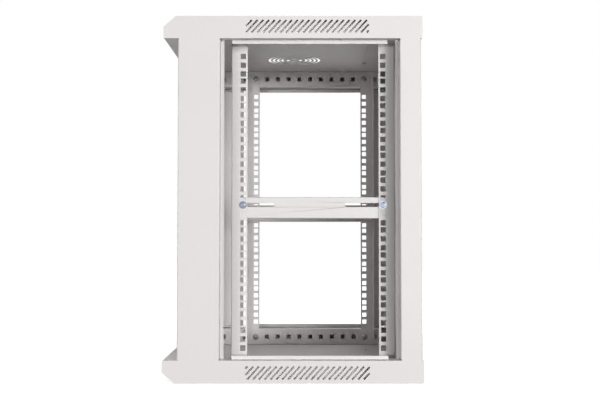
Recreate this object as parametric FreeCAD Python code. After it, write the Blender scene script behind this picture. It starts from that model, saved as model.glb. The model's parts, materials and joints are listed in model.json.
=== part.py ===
"""Wall mount rack cabinet, 12 units high, with its door and side panels taken off.

Millimetres. +X is the right hand side seen from the front, the front faces -Y and +Z is up.
The origin is the centre of the footprint, on the underside of the base.
"""

import FreeCAD, Part
import math
import os

from FreeCAD import Placement, Rotation, Vector

# Overall size
WIDTH = 600.0
DEPTH = 450.0
HEIGHT = 635.0

# Sheet thicknesses, bends and how far a cut runs past a sheet
FRAME_SHEET = 1.2
BACK_SHEET = 1.5
RAIL_SHEET = 1.5
BAR_SHEET = 1.5
COVER_SHEET = 1.2
INNER_BEND = 0.8
CUT_PAST = 1.0

# Roof and base panels
SKIRT_HEIGHT = 39.0
BEVEL_RUN = 21.0
BEVEL_DROP = 19.0
CROWN_RETURN = 39.0
PANEL_SEAT_DEPTH = 18.0
PANEL_SEAT_LIP = 6.0
SEAT_LIP_END_GAP = 20.0

# Slanted vent slots in the skirts
VENT_PITCH = 10.0
VENT_WIDTH = 3.4
VENT_SLANT = 47.0
VENT_FRONT = 143.5
VENT_LENGTH = 213.0
VENT_HEIGHT = 22.0
VENT_TOP_MARGIN = 7.0
VENT_SHORTEST = 5.0

# Fan grilles in the roof
FAN_OFFSET = 110.0
FAN_FRONT = 225.0
FAN_HUB_RADIUS = 9.0
FAN_HUB_SLOT = 8.2
FAN_RING_INNER = 24.2
FAN_RING_WIDTH = 5.0
FAN_RING_PITCH = 9.05
FAN_RINGS = 4
FAN_SPOKE = 6.0
FAN_HOLE_SPACING = 105.0
FAN_HOLE = 4.5

# Posts
POST_FRONT_SETBACK = 25.5
FRONT_POST_SIDE = 73.0
FRONT_POST_FACE = 50.0
FRONT_POST_LIP = 18.0
REAR_POST_SETBACK = 2.5
REAR_POST_SIDE = 37.0
REAR_POST_BACK = 38.0
CORNER_NOTCH = 2.4
POST_TAB_WIDTH = 22.0
POST_TAB_END_GAP = 8.0
LATCH_SLOT_HEIGHT = 62.0
LATCH_SLOT_WIDTH = 12.0
HINGE_HOLE = 5.5
HINGE_HOLE_SPACING = 32.0
HINGE_HOLE_INSET = 45.0
FACE_HOLE_EDGE = 25.0

# Depth beams
BEAM_HEIGHT = 36.0
BEAM_FLANGE = 24.0
BEAM_FRONT_GAP = 19.5
BEAM_REAR_GAP = 24.0
BEAM_END_MARGIN = 15.5
BEAM_HOLE_PITCH = 25.0
HOLE_COUNT_BEFORE_RAIL = 3
HOLE_COUNT_BEHIND_RAIL = 1

# 19 inch rails, with the two spaces measured inwards from the cabinet's side
RACK_UNIT = 44.45
UNIT_HOLES = (6.35, 22.225, 38.1)
SQUARE_HOLE = 9.5
RAIL_SIDE_SPACE = 54.0
RACK_SIDE_SPACE = 75.0
RACK_COLUMN_INSET = 7.55
RACK_START_ABOVE_SKIRT = 8.5
RAIL_SIDE_FLANGE = 28.8
RAIL_COLUMN_FROM_EDGE = 7.9
RAIL_END_GAP = 15.0

# Side bars
BAR_HEIGHT = 38.0
BAR_FLANGE = 12.0
BAR_SLOT_DROP = 14.0
BAR_SLOT_WIDTH = 7.1
BAR_SLOT_INNER = 62.5
BAR_SHIFT = -6.0
BAR_SLOT_TO_END = 2.4
BAR_SCREW_PLAY = 0.6

# Closed cable entries
ENTRY_WIDTH = 280.0
ENTRY_DEPTH = 44.0
ENTRY_REAR_GAP = 23.0
COVER_OVERLAP = 9.0
BACK_ENTRY_BELOW_SKIRT = 34.0
BACK_PANEL_GAP = 0.8
BACK_PANEL_SIDE_GAP = 1.0

# Wall fixing holes in the back panel
WALL_HOLE = 10.5
WALL_HOLE_SPACING_X = 420.0
WALL_HOLE_SPACING_Z = 480.0

# Fasteners, with few flat sides on heads, washers and threads
ROUND_SIDES = 12
HEX_SIDES = 6
M6_RADIUS = 3.0
M6_HEAD_RADIUS = 5.0
M6_HEAD_HEIGHT = 3.3
M6_NUT_FLATS = 10.0
M6_NUT_HEIGHT = 5.0
M6_FLANGE_RADIUS = 7.0
M6_FLANGE_HEIGHT = 1.2
M6_WASHER_RADIUS = 7.0
M6_WASHER_HEIGHT = 1.2
M6_THREAD_PAST_NUT = 2.0

# Places that several pieces share
SIDE = WIDTH / 2
FRONT = -DEPTH / 2
REAR = DEPTH / 2
POST_FRONT = FRONT + POST_FRONT_SETBACK
OPENING_FRONT = POST_FRONT + FRONT_POST_SIDE
POST_REAR = REAR - REAR_POST_SETBACK
OPENING_REAR = POST_REAR - REAR_POST_SIDE
SEAT_PLANE = SIDE - PANEL_SEAT_DEPTH
POST_BOTTOM = SKIRT_HEIGHT
POST_TOP = HEIGHT - SKIRT_HEIGHT
BEAM_FRONT = POST_FRONT + BEAM_FRONT_GAP
BEAM_REAR = REAR - BEAM_REAR_GAP
RAIL_OUTER = SIDE - RAIL_SIDE_SPACE
RAIL_INNER = RAIL_OUTER - RAIL_SHEET
RACK_CLEAR = SIDE - RACK_SIDE_SPACE
BEAM_INNER = RAIL_OUTER
BEAM_HOLE_COUNT = 1 + int((BEAM_REAR - BEAM_FRONT - 2 * BEAM_END_MARGIN) // BEAM_HOLE_PITCH)
BEAM_HOLES = [BEAM_FRONT + BEAM_END_MARGIN + i * BEAM_HOLE_PITCH for i in range(BEAM_HOLE_COUNT)]
FRONT_COLUMN = BEAM_HOLES[HOLE_COUNT_BEFORE_RAIL]
REAR_COLUMN = BEAM_HOLES[BEAM_HOLE_COUNT - 1 - HOLE_COUNT_BEHIND_RAIL]
BEAM_LOW_Z = FRAME_SHEET
BEAM_HIGH_Z = HEIGHT - FRAME_SHEET - BEAM_HEIGHT
LOW_SCREW_Z = BEAM_LOW_Z + BEAM_HEIGHT / 2
HIGH_SCREW_Z = BEAM_HIGH_Z + BEAM_HEIGHT / 2
RACK_START = SKIRT_HEIGHT + RACK_START_ABOVE_SKIRT
UNITS = int((POST_TOP - RACK_START) // RACK_UNIT)
RAIL_HOLES = [RACK_START + unit * RACK_UNIT + hole for unit in range(UNITS) for hole in UNIT_HOLES]
BAR_SCREW_Z = RACK_START + (UNITS // 2 - 1) * RACK_UNIT + UNIT_HOLES[-1]
BACK_REAR = POST_REAR - FRAME_SHEET
BACK_FRONT = BACK_REAR - BACK_SHEET
ROOF_ENTRY_Y = REAR - ENTRY_REAR_GAP - ENTRY_DEPTH / 2
BACK_ENTRY_Z = POST_TOP - BACK_ENTRY_BELOW_SKIRT


def box(x0, y0, z0, x1, y1, z1):
    """A block between two corners."""
    return Part.makeBox(x1 - x0, y1 - y0, z1 - z0, Vector(x0, y0, z0))


def rod(radius, start, end):
    """A round bar from one point to another."""
    run = Vector(*end) - Vector(*start)
    return Part.makeCylinder(radius, run.Length, Vector(*start), run)


def prism(sides, radius, start, end):
    """A bar with flat sides from one point to another, radius out to its corners."""
    run = Vector(*end) - Vector(*start)
    step = 2 * math.pi / sides
    points = [Vector(radius * math.cos(i * step), radius * math.sin(i * step), 0) for i in range(sides)]
    bar = Part.Face(Part.makePolygon(points + points[:1])).extrude(Vector(0, 0, run.Length))
    bar.Placement = Placement(Vector(*start), Rotation(Vector(0, 0, 1), run))
    return bar


def mirrored(shape):
    """The same piece on the other side of the cabinet."""
    return shape.mirror(Vector(0, 0, 0), Vector(1, 0, 0))


def upside_down(shape):
    """A roof piece turned half a turn about the depth axis, to serve in the base."""
    turned = shape.copy()
    turned.rotate(Vector(0, 0, HEIGHT / 2), Vector(0, 1, 0), 180)
    return turned


def folded(path, sheet, start, run):
    """A sheet folded along a path of its middle surface, drawn in X and Y or in X and Z.

    start is a vector added to each point of the path, and run is the length of the piece.
    """
    upright = run.z != 0
    points = [Vector(a, b, 0) for a, b in path]
    half = sheet / 2
    bend = INNER_BEND + half

    def side_edges(sign):
        edges = []
        last = points[0] + normal(points[0], points[1]) * (sign * half)
        for before, corner, after in zip(points, points[1:], points[2:]):
            into, out = (corner - before).normalize(), (after - corner).normalize()
            turn = math.atan2(into.x * out.y - into.y * out.x, into * out)
            reach = bend * math.tan(abs(turn) / 2)
            offset = sign * half
            first = corner - into * reach + normal(before, corner) * offset
            final = corner + out * reach + normal(corner, after) * offset
            middle = (out - into).normalize()
            centre = corner + middle * (bend / math.cos(turn / 2))
            radius = (first - centre).Length
            edges.append(Part.LineSegment(last, first).toShape())
            edges.append(Part.Arc(first, centre - middle * radius, final).toShape())
            last = final
        end = points[-1] + normal(points[-2], points[-1]) * (sign * half)
        edges.append(Part.LineSegment(last, end).toShape())
        return edges

    near, far = side_edges(1), side_edges(-1)
    caps = [Part.LineSegment(near[0].Vertexes[0].Point, far[0].Vertexes[0].Point).toShape(),
            Part.LineSegment(near[-1].Vertexes[-1].Point, far[-1].Vertexes[-1].Point).toShape()]
    outline = Part.Wire(Part.sortEdges(near + far + caps)[0])
    section = Part.Face(outline)
    if not upright:
        section.rotate(Vector(0, 0, 0), Vector(1, 0, 0), 90)
    section.translate(start)
    return section.extrude(run)


def normal(start, end):
    """The left hand normal of a step in the flat drawing of a section."""
    along = (end - start).normalize()
    return Vector(-along.y, along.x, 0)


def crown_profile(inset):
    """The side outline of the roof, front to the left, drawn in by an inset."""
    slope = math.atan2(BEVEL_DROP, BEVEL_RUN)
    top_shift = inset * math.tan(slope / 2)
    front_shift = inset * math.tan((math.pi / 2 - slope) / 2)
    low, high = POST_TOP + inset, HEIGHT - inset
    return [(FRONT + inset, low), (FRONT + inset, HEIGHT - BEVEL_DROP - front_shift),
            (FRONT + BEVEL_RUN + top_shift, high), (REAR - inset, high), (REAR - inset, low)]


def crown_block(inset, rounding):
    """A solid block of the roof's outline, rounded along the folds that run across the cabinet."""
    points = [Vector(-SIDE + inset, y, z) for y, z in crown_profile(inset)]
    block = Part.Face(Part.makePolygon(points + points[:1])).extrude(Vector(WIDTH - 2 * inset, 0, 0))
    folds = [edge for edge in block.Edges if edge.BoundBox.XLength > SIDE]
    return block.makeFillet(rounding, folds)


def vent_slots():
    """Slanted slots for both skirts of the roof, rising to the right seen from outside."""
    front, rear = FRONT + VENT_FRONT, FRONT + VENT_FRONT + VENT_LENGTH
    top = HEIGHT - VENT_TOP_MARGIN
    low = top - VENT_HEIGHT
    rise, run = math.sin(math.radians(VENT_SLANT)), math.cos(math.radians(VENT_SLANT))
    lean = VENT_HEIGHT / math.tan(math.radians(VENT_SLANT))
    slots = []
    steps = int((VENT_LENGTH + lean) // VENT_PITCH)
    for i in range(1, steps + 1):
        foot = front - lean + i * VENT_PITCH
        y0, y1 = max(foot, front), min(foot + lean, rear)
        length = (y1 - y0) / run
        if length < VENT_SHORTEST:
            continue
        slot = box(-SIDE - CUT_PAST, 0, -VENT_WIDTH / 2, SIDE + CUT_PAST, length, VENT_WIDTH / 2)
        slot.rotate(Vector(0, 0, 0), Vector(1, 0, 0), VENT_SLANT)
        slot.translate(Vector(0, y0, low + (y0 - foot) * rise / run))
        slots.append(slot)
    right = Part.makeCompound(slots).common(box(0, FRONT, 0, SIDE + CUT_PAST, REAR, HEIGHT))
    left = right.copy()
    left.rotate(Vector(0, (front + rear) / 2, 0), Vector(0, 0, 1), 180)
    return [right, left]


def fan_grille(x):
    """Ring slots crossed by four diagonal spokes, and the four fan screw holes."""
    y = FRONT + FAN_FRONT
    low, high = HEIGHT - 2 * FRAME_SHEET, HEIGHT + FRAME_SHEET
    slots = [(FAN_HUB_RADIUS, FAN_HUB_SLOT)]
    slots += [(FAN_RING_INNER + i * FAN_RING_PITCH, FAN_RING_WIDTH) for i in range(FAN_RINGS)]
    rings = []
    for inner, width in slots:
        outside = rod(inner + width, (x, y, low), (x, y, high))
        rings.append(outside.cut(rod(inner, (x, y, low), (x, y, high))))
    reach = FAN_RING_INNER + FAN_RINGS * FAN_RING_PITCH
    spokes = []
    for angle in (45, 135):
        spoke = box(x - reach, y - FAN_SPOKE / 2, low, x + reach, y + FAN_SPOKE / 2, high)
        spoke.rotate(Vector(x, y, 0), Vector(0, 0, 1), angle)
        spokes.append(spoke)
    cuts = [Part.makeCompound(rings).cut(Part.makeCompound(spokes))]
    half = FAN_HOLE_SPACING / 2
    for dx in (-half, half):
        for dy in (-half, half):
            cuts.append(rod(FAN_HOLE / 2, (x + dx, y + dy, low), (x + dx, y + dy, high)))
    return cuts


def seat_lip(sign):
    """The narrow strip below the roof's side return that a side panel rests on."""
    front, rear = OPENING_FRONT + SEAT_LIP_END_GAP, OPENING_REAR - SEAT_LIP_END_GAP
    edge = sign * SEAT_PLANE
    inner = edge - sign * FRAME_SHEET
    return box(min(edge, inner), front, POST_TOP - PANEL_SEAT_LIP,
               max(edge, inner), rear, POST_TOP + FRAME_SHEET)


def crown_panel(fans):
    """The folded roof: top, bevelled front, skirts and the returns below them."""
    shell = crown_block(0.0, INNER_BEND + FRAME_SHEET).cut(crown_block(FRAME_SHEET, INNER_BEND))
    window = box(-SEAT_PLANE, FRONT + CROWN_RETURN, POST_TOP - CUT_PAST, SEAT_PLANE,
                 REAR - FRAME_SHEET - INNER_BEND, POST_TOP + 2 * FRAME_SHEET)
    shell = shell.cut(window)
    shell = shell.fuse([seat_lip(-1), seat_lip(1)])
    cuts = vent_slots()
    for fan in fans:
        cuts += fan_grille(fan)
    low, high = HEIGHT - 2 * FRAME_SHEET, HEIGHT + FRAME_SHEET
    cuts.append(box(-ENTRY_WIDTH / 2, ROOF_ENTRY_Y - ENTRY_DEPTH / 2, low,
                    ENTRY_WIDTH / 2, ROOF_ENTRY_Y + ENTRY_DEPTH / 2, high))
    return shell.cut(cuts).removeSplitter()


def end_tabs(front, rear):
    """The tabs folded in at both ends of a post, which lie on the returns of the roof and the base."""
    return [box(SIDE - POST_TAB_WIDTH, front, z, SIDE - FRAME_SHEET / 2, rear, z + FRAME_SHEET)
            for z in (POST_BOTTOM, POST_TOP - FRAME_SHEET)]


def corner_notches(y):
    """Small relief notches at the two ends of a post's edge."""
    inner, outer, half = SEAT_PLANE - FRAME_SHEET, SIDE + CUT_PAST, CORNER_NOTCH / 2
    return [box(inner, y - half, z - CORNER_NOTCH, outer, y + half, z + CORNER_NOTCH)
            for z in (POST_BOTTOM, POST_TOP)]


def front_post():
    """The right hand front post: door face, side face and the seat for a side panel."""
    half = FRAME_SHEET / 2
    path = [(SEAT_PLANE - half, OPENING_FRONT + PANEL_SEAT_LIP), (SEAT_PLANE - half, OPENING_FRONT - half),
            (SIDE - half, OPENING_FRONT - half), (SIDE - half, POST_FRONT + half),
            (SIDE - FRONT_POST_FACE + half, POST_FRONT + half),
            (SIDE - FRONT_POST_FACE + half, POST_FRONT + FRONT_POST_LIP)]
    post = folded(path, FRAME_SHEET, Vector(0, 0, POST_BOTTOM), Vector(0, 0, POST_TOP - POST_BOTTOM))
    post = post.fuse(end_tabs(POST_FRONT + POST_TAB_END_GAP, OPENING_FRONT - POST_TAB_END_GAP))
    cuts = corner_notches(OPENING_FRONT) + corner_notches(POST_FRONT)
    face_x = SIDE - FACE_HOLE_EDGE
    middle = HEIGHT / 2
    y0, y1 = POST_FRONT - CUT_PAST, POST_FRONT + FRAME_SHEET + CUT_PAST
    cuts.append(box(face_x - LATCH_SLOT_WIDTH / 2, y0, middle - LATCH_SLOT_HEIGHT / 2,
                    face_x + LATCH_SLOT_WIDTH / 2, y1, middle + LATCH_SLOT_HEIGHT / 2))
    for end, sign in ((POST_BOTTOM, 1), (POST_TOP, -1)):
        for step in (0, HINGE_HOLE_SPACING):
            z = end + sign * (HINGE_HOLE_INSET + step)
            cuts.append(rod(HINGE_HOLE / 2, (face_x, y0, z), (face_x, y1, z)))
    return post.cut(cuts).removeSplitter()


def rear_post():
    """The right hand rear post: seat for a side panel, side face and back flange."""
    half = FRAME_SHEET / 2
    path = [(SEAT_PLANE - half, OPENING_REAR - PANEL_SEAT_LIP), (SEAT_PLANE - half, OPENING_REAR + half),
            (SIDE - half, OPENING_REAR + half), (SIDE - half, POST_REAR - half),
            (SIDE - REAR_POST_BACK, POST_REAR - half)]
    post = folded(path, FRAME_SHEET, Vector(0, 0, POST_BOTTOM), Vector(0, 0, POST_TOP - POST_BOTTOM))
    post = post.fuse(end_tabs(OPENING_REAR + POST_TAB_END_GAP, POST_REAR - POST_TAB_END_GAP))
    return post.cut(corner_notches(OPENING_REAR) + corner_notches(POST_REAR)).removeSplitter()


def back_panel():
    """The closed back with four wall fixing holes and a closed cable entry."""
    half_width = SEAT_PLANE - BACK_PANEL_SIDE_GAP
    low, high = FRAME_SHEET + BACK_PANEL_GAP, HEIGHT - FRAME_SHEET - BACK_PANEL_GAP
    panel = box(-half_width, BACK_FRONT, low, half_width, BACK_REAR, high)
    y0, y1 = BACK_FRONT - CUT_PAST, BACK_REAR + CUT_PAST
    cuts = [box(-ENTRY_WIDTH / 2, y0, BACK_ENTRY_Z - ENTRY_DEPTH / 2,
                ENTRY_WIDTH / 2, y1, BACK_ENTRY_Z + ENTRY_DEPTH / 2)]
    for sx in (-1, 1):
        for sz in (-1, 1):
            x, z = sx * WALL_HOLE_SPACING_X / 2, HEIGHT / 2 + sz * WALL_HOLE_SPACING_Z / 2
            cuts.append(rod(WALL_HOLE / 2, (x, y0, z), (x, y1, z)))
    return panel.cut(cuts)


def square_hole_x(y, z, x0, x1):
    """A square hole through a sheet that faces sideways."""
    half = SQUARE_HOLE / 2
    return box(x0, y - half, z - half, x1, y + half, z + half)


def depth_beam(low_z):
    """A right hand beam: channel with its flanges outwards and a row of square holes."""
    half = FRAME_SHEET / 2
    web, tip = BEAM_INNER + half, BEAM_INNER + BEAM_FLANGE
    path = [(tip, low_z + half), (web, low_z + half),
            (web, low_z + BEAM_HEIGHT - half), (tip, low_z + BEAM_HEIGHT - half)]
    beam = folded(path, FRAME_SHEET, Vector(0, BEAM_FRONT, 0), Vector(0, BEAM_REAR - BEAM_FRONT, 0))
    middle = low_z + BEAM_HEIGHT / 2
    x0, x1 = BEAM_INNER - CUT_PAST, BEAM_INNER + FRAME_SHEET + CUT_PAST
    return beam.cut([square_hole_x(y, middle, x0, x1) for y in BEAM_HOLES])


def rack_rail(column, outward):
    """A right hand rail: side flange with its hole column, and a 19 inch face away from the middle.

    outward is -1 for a front rail, whose face is at its front edge, and 1 for a rear rail.
    """
    half = RAIL_SHEET / 2
    free_edge = column - outward * RAIL_COLUMN_FROM_EDGE
    face = free_edge + outward * RAIL_SIDE_FLANGE
    side_x = RAIL_OUTER - half
    path = [(side_x, free_edge), (side_x, face - outward * half), (RACK_CLEAR, face - outward * half)]
    length = HEIGHT - 2 * RAIL_END_GAP
    rail = folded(path, RAIL_SHEET, Vector(0, 0, RAIL_END_GAP), Vector(0, 0, length))
    hole = SQUARE_HOLE / 2
    face_x = RACK_CLEAR + RACK_COLUMN_INSET
    cuts = [square_hole_x(column, z, RAIL_INNER - CUT_PAST, RAIL_OUTER + CUT_PAST)
            for z in RAIL_HOLES + [LOW_SCREW_Z, HIGH_SCREW_Z]]
    cuts += [box(face_x - hole, face - 2 * RAIL_SHEET, z - hole,
                 face_x + hole, face + 2 * RAIL_SHEET, z + hole) for z in RAIL_HOLES]
    return rail.cut(cuts)


def side_bar():
    """The right hand bar between a front and a rear rail: shallow channel with a long slot at each end."""
    half = BAR_SHEET / 2
    slot_z = BAR_SCREW_Z
    top = slot_z + BAR_SLOT_DROP
    low = top - BAR_HEIGHT
    web, tip = RAIL_INNER - half, RAIL_INNER - BAR_FLANGE
    middle = (FRONT_COLUMN + REAR_COLUMN) / 2 + BAR_SHIFT
    slot_end = (REAR_COLUMN - FRONT_COLUMN) / 2 + abs(BAR_SHIFT) + M6_RADIUS + BAR_SCREW_PLAY
    bar_end = slot_end + BAR_SLOT_TO_END
    path = [(tip, low + half), (web, low + half), (web, top - half), (tip, top - half)]
    bar = folded(path, BAR_SHEET, Vector(0, middle - bar_end, 0), Vector(0, 2 * bar_end, 0))
    cuts = []
    radius = BAR_SLOT_WIDTH / 2
    x0, x1 = RAIL_INNER - BAR_SHEET - CUT_PAST, RAIL_INNER + CUT_PAST
    for sign in (-1, 1):
        y0 = middle + sign * (BAR_SLOT_INNER + radius)
        y1 = middle + sign * (slot_end - radius)
        cuts.append(box(x0, min(y0, y1), slot_z - radius, x1, max(y0, y1), slot_z + radius))
        for y in (y0, y1):
            cuts.append(rod(radius, (x0, y, slot_z), (x1, y, slot_z)))
    return bar.cut(cuts)


def screw(head_radius, head_face, tip):
    """A round headed screw: head_face is the centre of the face that is clamped, tip the thread's end."""
    face, end = Vector(*head_face), Vector(*tip)
    back = (face - end).normalize() * M6_HEAD_HEIGHT
    shank = prism(HEX_SIDES, M6_RADIUS, tuple(face), tuple(end))
    return shank.fuse(prism(ROUND_SIDES, head_radius, tuple(face + back), tuple(face))).removeSplitter()


def nut(face, away):
    """A flanged hexagonal nut from its clamping face, with its thread hole."""
    start, step = Vector(*face), Vector(*away)
    middle = start + step * M6_FLANGE_HEIGHT
    end = start + step * M6_NUT_HEIGHT
    corner = M6_NUT_FLATS / 2 / math.cos(math.pi / HEX_SIDES)
    flange = prism(ROUND_SIDES, M6_FLANGE_RADIUS, tuple(start), tuple(middle))
    body = flange.fuse(prism(HEX_SIDES, corner, tuple(middle), tuple(end)))
    return body.cut(prism(HEX_SIDES, M6_RADIUS, tuple(start), tuple(end))).removeSplitter()


def rail_fixings():
    """Screws and nuts that hold the rails to the beams."""
    screws, nuts = [], []
    web_outside = BEAM_INNER + FRAME_SHEET
    tip = web_outside + M6_NUT_HEIGHT + M6_THREAD_PAST_NUT
    for sx in (-1, 1):
        for y in (FRONT_COLUMN, REAR_COLUMN):
            for z in (LOW_SCREW_Z, HIGH_SCREW_Z):
                screws.append(screw(M6_FLANGE_RADIUS, (sx * RAIL_INNER, y, z), (sx * tip, y, z)))
                nuts.append(nut((sx * web_outside, y, z), (sx, 0, 0)))
    return screws, nuts


def bar_fixings():
    """Screws, washers and nuts that hold the side bars to the rails."""
    screws, washers, nuts = [], [], []
    washer_face = RAIL_OUTER + M6_WASHER_HEIGHT
    bar_face = RAIL_INNER - BAR_SHEET
    tip = bar_face - M6_NUT_HEIGHT - M6_THREAD_PAST_NUT
    z = BAR_SCREW_Z
    for sx in (-1, 1):
        for y in (FRONT_COLUMN, REAR_COLUMN):
            outside, inside = (sx * washer_face, y, z), (sx * RAIL_OUTER, y, z)
            screws.append(screw(M6_HEAD_RADIUS, outside, (sx * tip, y, z)))
            washer = prism(ROUND_SIDES, M6_WASHER_RADIUS, inside, outside)
            washers.append(washer.cut(prism(HEX_SIDES, M6_RADIUS, inside, outside)))
            nuts.append(nut((sx * bar_face, y, z), (-sx, 0, 0)))
    return screws, washers, nuts


def roof_cover():
    """The plate that closes the roof's cable entry from inside."""
    top = HEIGHT - FRAME_SHEET
    across, along = ENTRY_WIDTH / 2 + COVER_OVERLAP, ENTRY_DEPTH / 2 + COVER_OVERLAP
    return box(-across, ROOF_ENTRY_Y - along, top - COVER_SHEET, across, ROOF_ENTRY_Y + along, top)


def back_cover():
    """The plate that closes the back panel's cable entry from inside."""
    front = BACK_FRONT - COVER_SHEET
    across, along = ENTRY_WIDTH / 2 + COVER_OVERLAP, ENTRY_DEPTH / 2 + COVER_OVERLAP
    return box(-across, front, BACK_ENTRY_Z - along, across, BACK_FRONT, BACK_ENTRY_Z + along)


def pieces():
    """Every node of the cabinet by name."""
    made = {"roof_panel": crown_panel((-FAN_OFFSET, FAN_OFFSET)), "base_panel": upside_down(crown_panel(()))}
    right_hand = {
        "front_post": front_post(),
        "rear_post": rear_post(),
        "top_beam": depth_beam(BEAM_HIGH_Z),
        "bottom_beam": depth_beam(BEAM_LOW_Z),
        "front_rail": rack_rail(FRONT_COLUMN, -1),
        "rear_rail": rack_rail(REAR_COLUMN, 1),
        "side_bar": side_bar(),
    }
    for name, shape in right_hand.items():
        made[name + "_right"] = shape
        made[name + "_left"] = mirrored(shape)
    made["back_panel"] = back_panel()
    made["roof_cable_cover"] = roof_cover()
    made["base_cable_cover"] = upside_down(roof_cover())
    made["back_cable_cover"] = back_cover()
    rail_screws, rail_nuts = rail_fixings()
    bar_screws, bar_washers, bar_nuts = bar_fixings()
    groups = {
        "rail_screws": rail_screws,
        "rail_nuts": rail_nuts,
        "bar_screws": bar_screws,
        "bar_washers": bar_washers,
        "bar_nuts": bar_nuts,
    }
    for name, solids in groups.items():
        made[name] = Part.makeCompound(solids)
    return made


def main():
    os.makedirs("parts", exist_ok=True)
    for name, shape in pieces().items():
        shape.exportStep(f"parts/{name}.step")
        print(name, len(shape.Solids), "solids", round(shape.Volume / 1000, 2), "cm3", shape.isValid())


main()
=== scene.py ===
"""Looks of the wall mount rack cabinet: powder coated sheet steel, plated fasteners and a white studio.

Metres. +X is the right hand side seen from the front, the front faces -Y and +Z is up.
"""

import json
import math

import bmesh
import bpy
from mathutils import Matrix, Vector


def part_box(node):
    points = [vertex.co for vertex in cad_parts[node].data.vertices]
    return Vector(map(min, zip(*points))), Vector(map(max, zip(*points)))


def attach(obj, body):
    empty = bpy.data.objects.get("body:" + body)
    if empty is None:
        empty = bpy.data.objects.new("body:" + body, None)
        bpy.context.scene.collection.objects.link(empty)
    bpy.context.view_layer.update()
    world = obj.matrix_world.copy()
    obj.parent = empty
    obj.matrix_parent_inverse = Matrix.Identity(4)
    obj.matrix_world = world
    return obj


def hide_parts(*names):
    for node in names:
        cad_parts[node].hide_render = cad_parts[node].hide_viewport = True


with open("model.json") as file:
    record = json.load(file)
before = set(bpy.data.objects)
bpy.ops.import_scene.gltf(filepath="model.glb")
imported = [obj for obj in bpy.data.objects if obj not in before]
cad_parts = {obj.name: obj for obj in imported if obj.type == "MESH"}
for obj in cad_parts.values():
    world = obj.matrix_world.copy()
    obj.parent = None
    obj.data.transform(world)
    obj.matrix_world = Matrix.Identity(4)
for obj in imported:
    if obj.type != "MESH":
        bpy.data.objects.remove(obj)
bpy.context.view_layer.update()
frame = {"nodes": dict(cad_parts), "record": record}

# The photographed view, square to the right hand side and a little below its middle
IMAGE_WIDTH_PX = 600
FOCAL_LENGTH_PX = 921.0
SENSOR_WIDTH_MM = 36.0
CAMERA_PLACE = (1.8882, 0.01215, 0.2572)
CAMERA_PITCH_UP = 2.076

# Lamps: place, width, height and power. The four on the camera's side stand well back, most of them level,
# and the last two light the front and the roof
LAMPS = {
    "rear_high_lamp": ((4.77, 2.54, 1.3), 1.4, 1.0, 94.8),
    "rear_level_lamp": ((4.77, 2.54, 0.37), 1.4, 0.6, 83.2),
    "middle_level_lamp": ((5.19, 1.49, 0.37), 1.4, 0.6, 45.9),
    "front_level_lamp": ((4.68, -2.7, 0.37), 1.4, 0.6, 74.3),
    "far_side_lamp": ((-3.4, 1.6, 1.6), 1.7, 1.7, 30.0),
    "top_lamp": ((0.6, -0.6, 3.2), 1.7, 1.7, 10.0),
    "door_side_lamp": ((-1.7, -4.8, 0.8), 1.4, 1.4, 35.0),
    "roof_lamp": ((-0.55, 0.0, 3.2), 1.7, 1.7, 35.0),
}
LAMP_TARGET = (0.0, 0.0, 0.33)
WORLD_STRENGTH = 0.02
WHITE = (1.0, 1.0, 1.0, 1.0)

# Floor: how brightly the camera sees it beside the cabinet and further out. The glow rises away from the
# cabinet and paints light over the far part of its cast shadow
FLOOR_COLOUR = (0.3, 0.3, 0.3)
FLOOR_ROUGHNESS = 0.9
FLOOR_GLOW_NEAR = 0.9
FLOOR_GLOW_FAR_OVER_SHADOW = 1.0
FLOOR_NEAR_REACH = 0.42
FLOOR_FAR_REACH = 0.62
FLOOR_HALF_WIDTH = 30.0
FLOOR_DROP = 0.0005

# Powder paint
FRAME_COLOUR = (0.71, 0.681, 0.677)
INNER_COLOUR = (0.70, 0.679, 0.675)
FRAME_GLOSS = 0.46
INNER_GLOSS = 0.5
PAINT_METALLIC = 0.0
PAINT_SPECULAR = 0.3
PAINT_SKIN_DEPTH = 0.00008
PAINT_SHADE_DRIFT = 0.012
PAINT_GLOSS_DRIFT = 0.05

# Zinc plating
ZINC_COLOUR = (0.25, 0.28, 0.34)
DULL_ZINC_COLOUR = (0.27, 0.28, 0.29)
ZINC_GLOSS = 0.32
DULL_ZINC_GLOSS = 0.45
ZINC_METALLIC = 1.0
ZINC_SPECULAR = 0.5
ZINC_SKIN_DEPTH = 0.00003
ZINC_SHADE_DRIFT = 0.16
ZINC_GLOSS_DRIFT = 0.1

# Noises: scale per metre, detail and, where it isn't plain, roughness
PAINT_CLOUD = (9.0, 3.0)
PAINT_SHEEN = (55.0, 2.0)
PAINT_PEBBLES = (1500.0, 2.5, 0.6)
PAINT_WAVES = (320.0, 1.0)
ZINC_CLOUD = (260.0, 4.0)
ZINC_GRAIN = (2600.0, 3.0)
PLAIN_ROUGHNESS = 0.5

# The noise values taken as lowest and highest, and how strongly the height of a skin shows
NOISE_LOW = 0.3
NOISE_HIGH = 0.7
SKIN_STRENGTH = 0.6

# Sheets and their edges
SHEET = 0.0012
RAIL_SHEET = 0.0015
BAR_SHEET = 0.0015
EDGE_RADIUS = 0.0004
EDGE_SEGMENTS = 2
EDGE_ANGLE = 40.0
SHEET_WELD_REACH = 0.00001
PLATE_FACES = ((0, 1, 3, 2), (4, 6, 7, 5), (0, 4, 5, 1), (2, 3, 7, 6), (0, 2, 6, 4), (1, 5, 7, 3))

# Every fastener: points round it, steps up a dome, and how close points are joined
SEGMENTS = 32
DOME_STEPS = 6
WELD_REACH = 0.000001

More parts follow.
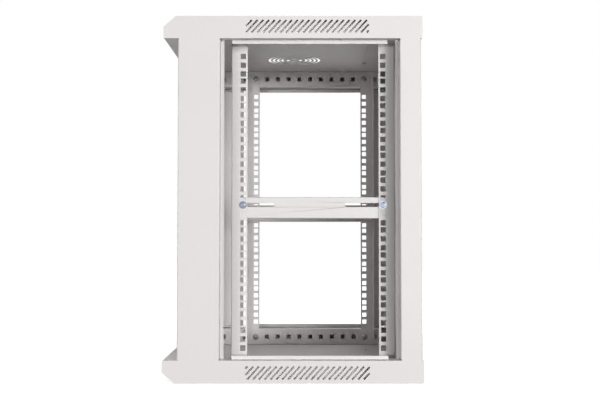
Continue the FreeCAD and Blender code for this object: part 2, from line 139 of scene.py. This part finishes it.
# M6 screws, nuts and washers
M6_RADIUS = 0.003
M6_PITCH = 0.001
M6_HEAD_RADIUS = 0.005
M6_HEAD_HEIGHT = 0.0033
M6_HEAD_FOOT = 0.0008
M6_FLANGE_RADIUS = 0.007
M6_FLANGE_HEIGHT = 0.0012
M6_FLANGE_RIM = 0.0007
THREAD_DEPTH = 0.0004
THREAD_PAST_NUT = 0.002
M6_NUT_HEIGHT = 0.005
M6_NUT_FLATS = 0.010
NUT_CHAMFER = 0.0006
NUT_FLANGE_RIM = 0.0006
NUT_COLLAR = 0.0004
NUT_MOUTH_DEPTH = 0.0004
WASHER_RIM = 0.0002

# Shares of a pitch, of a head's height or radius, of a recess, of a nut's half width and of the M6 radius
THREAD_FLANK = 0.3
THREAD_CREST = 0.8
HEAD_RIM = 0.35
HEAD_FLAT = 0.62
RECESS_REACH = 0.52
RECESS_WIDTH = 0.28
RECESS_FLOOR = 0.72
RECESS_DEPTH = 0.55
NUT_TOP = 0.96
NUT_HOLE = 1.02
NUT_MOUTH = 1.2
WASHER_HOLE = 1.07

# Cover screws and blind rivets
M4_HEAD_RADIUS = 0.0038
M4_HEAD_HEIGHT = 0.0024
RIVET_HEAD_RADIUS = 0.0048
RIVET_HEAD_HEIGHT = 0.0015
RIVET_HEAD_RIM = 0.0003
RIVET_TAIL_RADIUS = 0.0038
RIVET_TAIL_HEIGHT = 0.0022
RIVET_TAIL_RIM = 0.0006
RIVET_TAIL_FOOT = 0.85
RIVET_TAIL_HOLLOW = 0.0003
MANDREL_RADIUS = 0.0012
MANDREL_FLOOR = 0.0004

# Where the fasteners sit, the post screws as shares of a post's side, and the turn from one to the next
PLACE_DIGITS = 6
RIVETS_PER_SIDE = 4
RIVET_END_INSET = 0.045
COVER_SCREW_INSET_X = 0.018
COVER_SCREW_INSET_Y = 0.0045
TAB_SCREW_INSET = 0.0096
FRONT_POST_SCREWS = (0.3, 0.75)
REAR_POST_SCREWS = (0.5,)
FRONT_POST_SIDE = 0.073
REAR_POST_SIDE = 0.037
HEAD_TURN = 0.7

SLOTS = {row["node"]: row["material_slot"] for row in frame["record"]["subparts"]}


def new_group(name, inputs, outputs):
    """An empty shader group with named sockets, and its two end nodes."""
    group = bpy.data.node_groups.new(name, "ShaderNodeTree")
    for way, sockets in (("INPUT", inputs), ("OUTPUT", outputs)):
        for label, kind in sockets:
            group.interface.new_socket(label, in_out=way, socket_type=kind)
    return group, group.nodes.new("NodeGroupInput"), group.nodes.new("NodeGroupOutput")


def noise(tree, scale, detail, roughness=PLAIN_ROUGHNESS):
    """The value of a noise texture in the frame's own metres."""
    place = tree.nodes.new("ShaderNodeTexCoord")
    texture = tree.nodes.new("ShaderNodeTexNoise")
    tree.links.new(place.outputs["Object"], texture.inputs["Vector"])
    texture.inputs["Scale"].default_value = scale
    texture.inputs["Detail"].default_value = detail
    texture.inputs["Roughness"].default_value = roughness
    return texture.outputs["Fac"]


def combined(tree, operation, first, second):
    """The result of a sum or the like on two sockets."""
    node = tree.nodes.new("ShaderNodeMath")
    node.operation = operation
    tree.links.new(first, node.inputs[0])
    tree.links.new(second, node.inputs[1])
    return node.outputs[0]


def spread(tree, value, middle, reach):
    """A noise turned into middle plus or minus reach."""
    ramp = tree.nodes.new("ShaderNodeMapRange")
    ramp.inputs["From Min"].default_value = NOISE_LOW
    ramp.inputs["From Max"].default_value = NOISE_HIGH
    tree.links.new(value, ramp.inputs["Value"])
    tree.links.new(combined(tree, "SUBTRACT", middle, reach), ramp.inputs["To Min"])
    tree.links.new(combined(tree, "ADD", middle, reach), ramp.inputs["To Max"])
    return ramp.outputs["Result"]


def tinted(tree, colour, factor):
    """A colour scaled by a grey factor."""
    mix = tree.nodes.new("ShaderNodeVectorMath")
    mix.operation = "SCALE"
    tree.links.new(colour, mix.inputs[0])
    tree.links.new(factor, mix.inputs["Scale"])
    return mix.outputs[0]


def skin_group(name, shade_noise, gloss_noise):
    """A group whose colour and gloss drift, its end node, and the noise that moves the gloss."""
    group, given, made = new_group(
        name,
        [("Colour", "NodeSocketColor"), ("Shade Drift", "NodeSocketFloat"),
         ("Gloss", "NodeSocketFloat"), ("Gloss Drift", "NodeSocketFloat")],
        [("Colour", "NodeSocketColor"), ("Roughness", "NodeSocketFloat"), ("Height", "NodeSocketFloat")])
    one = group.nodes.new("ShaderNodeValue")
    one.outputs[0].default_value = 1.0
    shade = spread(group, noise(group, *shade_noise), one.outputs[0], given.outputs["Shade Drift"])
    group.links.new(tinted(group, given.outputs["Colour"], shade), made.inputs["Colour"])
    sheen = noise(group, *gloss_noise)
    gloss = spread(group, sheen, given.outputs["Gloss"], given.outputs["Gloss Drift"])
    group.links.new(gloss, made.inputs["Roughness"])
    return group, made, sheen


def powder_coat_group():
    """Baked powder paint: a fine pebbled skin whose shade and gloss drift slightly."""
    group, made = skin_group("powder_coat", PAINT_CLOUD, PAINT_SHEEN)[:2]
    skin = combined(group, "ADD", noise(group, *PAINT_PEBBLES), noise(group, *PAINT_WAVES))
    group.links.new(skin, made.inputs["Height"])
    return group


def plating_group():
    """Zinc plating: clouded passivation tint with fine crystal grain."""
    group, made, grain = skin_group("zinc_plating", ZINC_CLOUD, ZINC_GRAIN)
    group.links.new(grain, made.inputs["Height"])
    return group


def dressed(name, group, colour, gloss, metallic, specular, skin_depth, shade_drift, gloss_drift):
    """A material whose surface comes from one of the groups."""
    material = bpy.data.materials.new(name)
    material.use_nodes = True
    tree = material.node_tree
    surface = tree.nodes["Principled BSDF"]
    surface.inputs["Metallic"].default_value = metallic
    surface.inputs["Specular IOR Level"].default_value = specular
    skin = tree.nodes.new("ShaderNodeGroup")
    skin.node_tree = group
    for label, value in (("Colour", (*colour, 1.0)), ("Shade Drift", shade_drift),
                         ("Gloss", gloss), ("Gloss Drift", gloss_drift)):
        skin.inputs[label].default_value = value
    tree.links.new(skin.outputs["Colour"], surface.inputs["Base Color"])
    tree.links.new(skin.outputs["Roughness"], surface.inputs["Roughness"])
    bump = tree.nodes.new("ShaderNodeBump")
    bump.inputs["Strength"].default_value = SKIN_STRENGTH
    bump.inputs["Distance"].default_value = skin_depth
    tree.links.new(skin.outputs["Height"], bump.inputs["Height"])
    tree.links.new(bump.outputs["Normal"], surface.inputs["Normal"])
    return material


def make_finishes():
    """The materials of the three slots, with a duller plating for the rail screws and nuts."""
    coat, plating = powder_coat_group(), plating_group()
    paint = (PAINT_METALLIC, PAINT_SPECULAR, PAINT_SKIN_DEPTH, PAINT_SHADE_DRIFT, PAINT_GLOSS_DRIFT)
    metal = (ZINC_METALLIC, ZINC_SPECULAR, ZINC_SKIN_DEPTH, ZINC_SHADE_DRIFT, ZINC_GLOSS_DRIFT)
    return {
        "frame_paint": dressed("frame_paint_finish", coat, FRAME_COLOUR, FRAME_GLOSS, *paint),
        "inner_paint": dressed("inner_paint_finish", coat, INNER_COLOUR, INNER_GLOSS, *paint),
        "zinc": dressed("zinc_finish", plating, ZINC_COLOUR, ZINC_GLOSS, *metal),
        "dull_zinc": dressed("dull_zinc_finish", plating, DULL_ZINC_COLOUR, DULL_ZINC_GLOSS, *metal),
    }


def soften_edges(node):
    """The small radius that paint and a press leave on every sheet edge."""
    weld = node.modifiers.new("joined_edges", "WELD")
    weld.merge_threshold = SHEET_WELD_REACH
    bevel = node.modifiers.new("soft_edges", "BEVEL")
    bevel.width = EDGE_RADIUS
    bevel.segments = EDGE_SEGMENTS
    bevel.limit_method = "ANGLE"
    bevel.angle_limit = math.radians(EDGE_ANGLE)
    bevel.harden_normals = True


def dress_nodes(finishes):
    """Gives every CAD node the finish of its slot, and sheets their soft edges."""
    for name, node in frame["nodes"].items():
        node.data.materials.clear()
        node.data.materials.append(finishes[SLOTS[name]])
        if SLOTS[name] != "zinc":
            soften_edges(node)


def ring(height, reaches):
    """Points evenly round Z at one height, each at its own distance."""
    turns = [2 * math.pi * i / len(reaches) for i in range(len(reaches))]
    return [Vector((reach * math.cos(turn), reach * math.sin(turn), height))
            for reach, turn in zip(reaches, turns)]


def spun(profile):
    """A surface turned about Z from (radius, height) points, closed where the radius is zero."""
    points = [point for radius, height in profile for point in ring(height, [radius] * SEGMENTS)]
    faces = []
    for row in range(len(profile) - 1):
        for i in range(SEGMENTS):
            j = (i + 1) % SEGMENTS
            a, b = row * SEGMENTS, (row + 1) * SEGMENTS
            faces.append((a + i, b + i, b + j, a + j))
    return points, faces


def thread(low, high):
    """Profile points of a screw thread from its low end to its high end."""
    core = M6_RADIUS - THREAD_DEPTH
    points = [(0.0, low), (core - THREAD_DEPTH, low)]
    for i in range(int((high - low) / M6_PITCH)):
        points.append((core, low + (i + THREAD_FLANK) * M6_PITCH))
        points.append((M6_RADIUS, low + (i + THREAD_CREST) * M6_PITCH))
    return points + [(core, high), (0.0, high)]


def dome(radius, low, high, hollow):
    """Profile points of a domed head from its rim to the edge of its recess."""
    points = [(radius, low)]
    for i in range(1, DOME_STEPS + 1):
        turn = math.radians(90 * i / DOME_STEPS)
        points.append((hollow + (radius - hollow) * math.cos(turn), low + (high - low) * math.sin(turn)))
    return points


def recess(points, faces, low, high, reach):
    """Adds a cross recess below the top of a head: four slots that narrow to the middle."""
    base = len(points)
    width = reach * RECESS_WIDTH
    outline = []
    for i in range(4):
        turn = math.pi / 2 * i
        for along, across in ((width, -width), (reach, -width), (reach, width)):
            outline.append((along * math.cos(turn) - across * math.sin(turn),
                            along * math.sin(turn) + across * math.cos(turn)))
    rim = len(outline)
    for scale, height in ((1.0, high), (RECESS_FLOOR, low)):
        points += [Vector((x * scale, y * scale, height)) for x, y in outline]
    for i in range(rim):
        j = (i + 1) % rim
        faces.append((base + i, base + j, base + rim + j, base + rim + i))
    faces.append(tuple(base + rim + i for i in range(rim)))
    return outline


def crossed_top(points, faces, first, outline):
    """Fills the flat between the last ring of a head, from its first point, and its cross recess."""
    rim = len(outline)
    base = len(points) - 2 * rim
    angles = [math.atan2(y, x) % (2 * math.pi) for x, y in outline]
    start = angles.index(min(angles))
    near = 0
    for step in range(rim):
        here, after = (start + step) % rim, (start + step + 1) % rim
        end = SEGMENTS if step == rim - 1 else round(angles[after] / (2 * math.pi) * SEGMENTS)
        for i in range(near, end):
            faces.append((first + i, first + (i + 1) % SEGMENTS, base + here))
        faces.append((first + end % SEGMENTS, base + after, base + here))
        near = end


def pan_head(radius, low, high):
    """A domed head with a cross recess, standing on a face at low."""
    height = high - low
    profile = dome(radius, low + height * HEAD_RIM, high, radius * HEAD_FLAT)
    points, faces = spun([(0.0, low), (radius, low)] + profile)
    last_ring = (len(profile) + 1) * SEGMENTS
    outline = recess(points, faces, high - height * RECESS_DEPTH, high, radius * RECESS_REACH)
    crossed_top(points, faces, last_ring, outline)
    return points, faces


def joined(*shapes):
    """Several point and face lists as one."""
    points, faces = [], []
    for more_points, more_faces in shapes:
        base = len(points)
        points += more_points
        faces += [tuple(base + i for i in face) for face in more_faces]
    return points, faces


def flanged_screw(length):
    """A rail screw: flange, domed head and thread, clamping at height 0."""
    flange = spun([(0.0, 0.0), (M6_FLANGE_RADIUS, 0.0), (M6_FLANGE_RADIUS, M6_FLANGE_RIM),
                   (M6_HEAD_RADIUS, M6_FLANGE_HEIGHT), (0.0, M6_FLANGE_HEIGHT)])
    return joined(flange, pan_head(M6_HEAD_RADIUS, M6_HEAD_FOOT, M6_HEAD_HEIGHT), spun(thread(-length, 0.0)))


def pan_screw(length):
    """A screw of a side bar or a post: domed head and thread, clamping at height 0."""
    return joined(pan_head(M6_HEAD_RADIUS, 0.0, M6_HEAD_HEIGHT), spun(thread(-length, 0.0)))


def hex_body(low, high):
    """A hexagon with chamfered corners round a threaded hole."""
    count = 2 * SEGMENTS
    flat = M6_NUT_FLATS / 2
    corner = M6_NUT_FLATS / math.sqrt(3)
    sixth = math.pi / 3
    aside = [(2 * math.pi * i / count + sixth / 2) % sixth - sixth / 2 for i in range(count)]
    sides = [min(flat / math.cos(turn), corner) for turn in aside]
    hole = [M6_RADIUS * NUT_HOLE] * count
    rows = [(low, sides), (high - NUT_CHAMFER, sides), (high, [flat * NUT_TOP] * count),
            (high, [M6_RADIUS * NUT_MOUTH] * count), (high - NUT_MOUTH_DEPTH, hole), (low, hole)]
    points = [point for height, reaches in rows for point in ring(height, reaches)]
    faces = []
    for row in range(len(rows)):
        here, after = row * count, (row + 1) % len(rows) * count
        for i in range(count):
            j = (i + 1) % count
            faces.append((here + i, here + j, after + j, after + i))
    return points, faces


def flanged_nut():
    """A nut with its flange, clamping at height 0."""
    hole, collar = M6_RADIUS * NUT_HOLE, M6_FLANGE_HEIGHT + NUT_COLLAR
    flange = spun([(hole, M6_FLANGE_HEIGHT), (hole, 0.0), (M6_FLANGE_RADIUS, 0.0),
                   (M6_FLANGE_RADIUS, NUT_FLANGE_RIM), (M6_HEAD_RADIUS, collar), (hole, collar),
                   (hole, M6_FLANGE_HEIGHT)])
    return joined(flange, hex_body(M6_FLANGE_HEIGHT, M6_NUT_HEIGHT))


def washer():
    """A plain washer with soft rims, lying from height 0 up."""
    hole, rim, top, soft = M6_RADIUS * WASHER_HOLE, M6_FLANGE_RADIUS, M6_FLANGE_HEIGHT, WASHER_RIM
    return spun([(hole, 0.0), (rim - soft, 0.0), (rim, soft), (rim, top - soft), (rim - soft, top),
                 (hole + soft, top), (hole, top - soft), (hole, 0.0)])


def rivet_head():
    """A blind rivet's head with the hole that its mandrel left."""
    profile = dome(RIVET_HEAD_RADIUS, RIVET_HEAD_RIM, RIVET_HEAD_HEIGHT, MANDREL_RADIUS)
    foot = [(0.0, 0.0), (RIVET_HEAD_RADIUS, 0.0)]
    return spun(foot + profile + [(MANDREL_RADIUS, MANDREL_FLOOR), (0.0, MANDREL_FLOOR)])


def rivet_tail():
    """The drawn tail of a blind rivet on the inside."""
    profile = dome(RIVET_TAIL_RADIUS, RIVET_TAIL_RIM, RIVET_TAIL_HEIGHT, MANDREL_RADIUS)
    foot = [(0.0, 0.0), (RIVET_TAIL_RADIUS * RIVET_TAIL_FOOT, 0.0)]
    return spun(foot + profile + [(0.0, RIVET_TAIL_HEIGHT - RIVET_TAIL_HOLLOW)])


def small_pan_head():
    """The head of a cable entry cover's screw."""
    return pan_head(M4_HEAD_RADIUS, 0.0, M4_HEAD_HEIGHT)


def made_piece(name, points, faces, finish, slot):
    """A piece on the cabinet from points and faces, with welded corners and outward faces."""
    mesh = bpy.data.meshes.new(name)
    mesh.from_pydata(points, [], faces)
    skin = bmesh.new()
    skin.from_mesh(mesh)
    bmesh.ops.remove_doubles(skin, verts=skin.verts, dist=WELD_REACH)
    bmesh.ops.recalc_face_normals(skin, faces=skin.faces)
    skin.to_mesh(mesh)
    skin.free()
    mesh.validate()
    mesh.shade_smooth()
    mesh.set_sharp_from_angle(angle=math.radians(EDGE_ANGLE))
    mesh.materials.append(finish)
    piece = bpy.data.objects.new(name, mesh)
    bpy.context.scene.collection.objects.link(piece)
    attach(piece, "root")
    return piece


def fasteners(name, finish, seats, shape, *stands_for):
    """One piece that holds a copy of a shape at each seat, a place and the way that it points."""
    points, faces = shape
    copies = []
    for number, (place, way) in enumerate(seats):
        twist = Matrix.Rotation(HEAD_TURN * number, 4, "Z")
        facing = Vector(way).to_track_quat("Z", "Y").to_matrix().to_4x4()
        seat = Matrix.Translation(place) @ facing @ twist
        copies.append(([seat @ point for point in points], faces))
    piece = made_piece(name, *joined(*copies), finish, "zinc")
    if stands_for:
        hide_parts(*stands_for)


def beam_backs(paint):
    """The outer walls behind the square holes of the depth beams, where the photo shows black."""
    plates = []
    for beam in ("top_beam_right", "top_beam_left", "bottom_beam_right", "bottom_beam_left"):
        low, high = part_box(beam)
        side = math.copysign(1, high[0] + low[0])
        outer = max(abs(low[0]), abs(high[0]))
        corners = [Vector((side * x, y, z)) for x in (outer - SHEET, outer) for y in (low[1], high[1])
                   for z in (low[2] + SHEET, high[2] - SHEET)]
        plates.append((corners, PLATE_FACES))
    soften_edges(made_piece("beam_backs", *joined(*plates), paint, "inner_paint"))


def corner_places(node, radius):
    """The Y and Z centres of a group of fasteners that sit at the corners of its box."""
    low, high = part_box(node)
    rows = sorted({round(low[2] + radius, PLACE_DIGITS), round(high[2] - radius, PLACE_DIGITS)})
    return [(y, z) for y in (low[1] + radius, high[1] - radius) for z in rows]


def rail_fasteners(zinc):
    """Screws and nuts between rails and depth beams, in the places of their nodes."""
    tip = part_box("rail_screws")[1][0]
    nut_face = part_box("rail_nuts")[1][0] - M6_NUT_HEIGHT
    head_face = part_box("front_rail_right")[1][0] - RAIL_SHEET
    screws, nuts = [], []
    for y, z in corner_places("rail_screws", M6_FLANGE_RADIUS):
        for side in (-1, 1):
            screws.append(((side * head_face, y, z), (-side, 0, 0)))
            nuts.append(((side * nut_face, y, z), (side, 0, 0)))
    fasteners("rail_screws_detail", zinc, screws, flanged_screw(tip - head_face), "rail_screws")
    fasteners("rail_nuts_detail", zinc, nuts, flanged_nut(), "rail_nuts")


def bar_fasteners(zinc):
    """Screws, washers and nuts of the side bars, in the places of their nodes."""
    washer_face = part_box("bar_washers")[1][0]
    washer_back = washer_face - M6_FLANGE_HEIGHT
    bar_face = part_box("side_bar_right")[1][0] - BAR_SHEET
    length = washer_face - (bar_face - M6_NUT_HEIGHT - THREAD_PAST_NUT)
    screws, washers, nuts = [], [], []
    for y, z in corner_places("bar_washers", M6_FLANGE_RADIUS):
        for side in (-1, 1):
            screws.append(((side * washer_face, y, z), (side, 0, 0)))
            washers.append(((side * washer_back, y, z), (side, 0, 0)))
            nuts.append(((side * bar_face, y, z), (-side, 0, 0)))
    fasteners("bar_screws_detail", zinc, screws, pan_screw(length), "bar_screws")
    fasteners("bar_washers_detail", zinc, washers, washer(), "bar_washers")
    fasteners("bar_nuts_detail", zinc, nuts, flanged_nut(), "bar_nuts")


def post_fasteners(zinc):
    """Screws and nuts that hold the posts' end tabs to the roof and the base."""
    screws, nuts = [], []
    front_low, front_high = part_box("front_post_right")
    rear_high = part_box("rear_post_right")[1]
    rows = [front_low[1] + share * FRONT_POST_SIDE for share in FRONT_POST_SCREWS]
    rows += [rear_high[1] - share * REAR_POST_SIDE for share in REAR_POST_SCREWS]
    for y in rows:
        for side in (-1, 1):
            x = side * (front_high[0] - TAB_SCREW_INSET)
            for seam, way in ((front_high[2], -1), (front_low[2], 1)):
                screws.append(((x, y, seam + way * SHEET), (0, 0, way)))
                nuts.append(((x, y, seam - way * SHEET), (0, 0, -way)))
    fasteners("frame_screws", zinc, screws, pan_screw(2 * SHEET + M6_NUT_HEIGHT + THREAD_PAST_NUT))
    fasteners("frame_nuts", zinc, nuts, flanged_nut())


def back_fasteners(zinc):
    """Blind rivets along both edges of the back panel."""
    post_low, post_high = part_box("rear_post_right")
    panel_low, panel_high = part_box("back_panel")
    x = (post_low[0] + panel_high[0]) / 2
    low, high = post_low[2] + RIVET_END_INSET, post_high[2] - RIVET_END_INSET
    heads, tails = [], []
    for i in range(RIVETS_PER_SIDE):
        z = low + (high - low) * i / (RIVETS_PER_SIDE - 1)
        for side in (-1, 1):
            heads.append(((side * x, post_high[1], z), (0, 1, 0)))
            tails.append(((side * x, panel_low[1], z), (0, -1, 0)))
    fasteners("back_rivet_heads", zinc, heads, rivet_head())
    fasteners("back_rivet_tails", zinc, tails, rivet_tail())


def cover_fasteners(zinc):
    """The screws of the three cable entry covers, driven from inside."""
    seats = []
    for node, way in (("roof_cable_cover", (0, 0, -1)), ("base_cable_cover", (0, 0, 1)),
                      ("back_cable_cover", (0, -1, 0))):
        low, high = (Vector(corner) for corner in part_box(node))
        axis = 1 if way[1] else 2
        along = 3 - axis
        face = high[axis] if way[axis] > 0 else low[axis]
        for x in (low[0] + COVER_SCREW_INSET_X, high[0] - COVER_SCREW_INSET_X):
            for other in (low[along] + COVER_SCREW_INSET_Y, high[along] - COVER_SCREW_INSET_Y):
                place = Vector((x, 0.0, 0.0))
                place[along], place[axis] = other, face
                seats.append((tuple(place), way))
    fasteners("cover_screws", zinc, seats, small_pan_head())


def make_camera():
    """The camera of the photograph."""
    data = bpy.data.cameras.new("view_camera")
    data.sensor_width = SENSOR_WIDTH_MM
    data.lens = FOCAL_LENGTH_PX / IMAGE_WIDTH_PX * SENSOR_WIDTH_MM
    camera = bpy.data.objects.new("view_camera", data)
    camera.location = CAMERA_PLACE
    camera.rotation_euler = (math.radians(90.0 + CAMERA_PITCH_UP), 0.0, math.radians(90.0))
    bpy.context.scene.collection.objects.link(camera)
    bpy.context.scene.camera = camera


def soft_lamp(name, place, width, height, power):
    """A soft lamp turned to the cabinet."""
    data = bpy.data.lights.new(name, "AREA")
    data.shape = "RECTANGLE"
    data.size, data.size_y = width, height
    data.energy = power
    lamp = bpy.data.objects.new(name, data)
    lamp.location = place
    lamp.rotation_euler = (Vector(LAMP_TARGET) - Vector(place)).to_track_quat("-Z", "Y").to_euler()
    bpy.context.scene.collection.objects.link(lamp)


def camera_or_mirror(tree):
    """1 for rays from the camera and for what gloss and glass show, and 0 for light on the cabinet."""
    path = tree.nodes.new("ShaderNodeLightPath")
    total = path.outputs["Is Camera Ray"]
    for label in ("Is Glossy Ray", "Is Transmission Ray"):
        total = combined(tree, "MAXIMUM", total, path.outputs[label])
    return total


def make_world():
    """White behind the object, and a weak even light on it."""
    world = bpy.data.worlds.new("studio")
    world.use_nodes = True
    bpy.context.scene.world = world
    tree = world.node_tree
    tree.nodes.clear()
    out = tree.nodes.new("ShaderNodeOutputWorld")
    mix = tree.nodes.new("ShaderNodeMixShader")
    for index, strength in ((1, WORLD_STRENGTH), (2, 1.0)):
        back = tree.nodes.new("ShaderNodeBackground")
        back.inputs["Color"].default_value = WHITE
        back.inputs["Strength"].default_value = strength
        tree.links.new(back.outputs[0], mix.inputs[index])
    tree.links.new(camera_or_mirror(tree), mix.inputs[0])
    tree.links.new(mix.outputs[0], out.inputs["Surface"])


def floor_material():
    """Dull grey that the camera sees near white, with room for the shadow close to the cabinet and painted
    light over the shadow further out.
    """
    material = bpy.data.materials.new("white_floor")
    material.use_nodes = True
    tree = material.node_tree
    surface = tree.nodes["Principled BSDF"]
    surface.inputs["Base Color"].default_value = (*FLOOR_COLOUR, 1.0)
    surface.inputs["Roughness"].default_value = FLOOR_ROUGHNESS
    surface.inputs["Specular IOR Level"].default_value = 0.0
    place = tree.nodes.new("ShaderNodeTexCoord")
    away = tree.nodes.new("ShaderNodeVectorMath")
    away.operation = "LENGTH"
    tree.links.new(place.outputs["Object"], away.inputs[0])
    # Painted light: the glow grows with distance from the cabinet and covers its cast shadow further out
    level = tree.nodes.new("ShaderNodeMapRange")
    level.interpolation_type = "SMOOTHSTEP"
    for label, value in (("From Min", FLOOR_NEAR_REACH), ("From Max", FLOOR_FAR_REACH),
                         ("To Min", FLOOR_GLOW_NEAR), ("To Max", FLOOR_GLOW_FAR_OVER_SHADOW)):
        level.inputs[label].default_value = value
    tree.links.new(away.outputs["Value"], level.inputs["Value"])
    glow = tree.nodes.new("ShaderNodeEmission")
    strength = combined(tree, "MULTIPLY", camera_or_mirror(tree), level.outputs["Result"])
    tree.links.new(strength, glow.inputs["Strength"])
    total = tree.nodes.new("ShaderNodeAddShader")
    tree.links.new(surface.outputs[0], total.inputs[0])
    tree.links.new(glow.outputs[0], total.inputs[1])
    tree.links.new(total.outputs[0], tree.nodes["Material Output"].inputs["Surface"])
    return material


def make_floor():
    """A wide floor under the cabinet."""
    half = FLOOR_HALF_WIDTH
    corners = ((-half, -half, 0), (half, -half, 0), (half, half, 0), (-half, half, 0))
    mesh = bpy.data.meshes.new("floor")
    mesh.from_pydata(corners, [], [(0, 1, 2, 3)])
    floor = bpy.data.objects.new("floor", mesh)
    floor.location.z = -FLOOR_DROP
    bpy.context.scene.collection.objects.link(floor)
    floor.data.materials.append(floor_material())


finishes = make_finishes()
dress_nodes(finishes)
beam_backs(finishes["inner_paint"])
rail_fasteners(finishes["dull_zinc"])
for make in (bar_fasteners, post_fasteners, back_fasteners, cover_fasteners):
    make(finishes["zinc"])
make_camera()
for lamp_name, settings in LAMPS.items():
    soft_lamp(lamp_name, *settings)
make_world()
make_floor()

view = bpy.context.scene.view_settings
view.view_transform = "Standard"
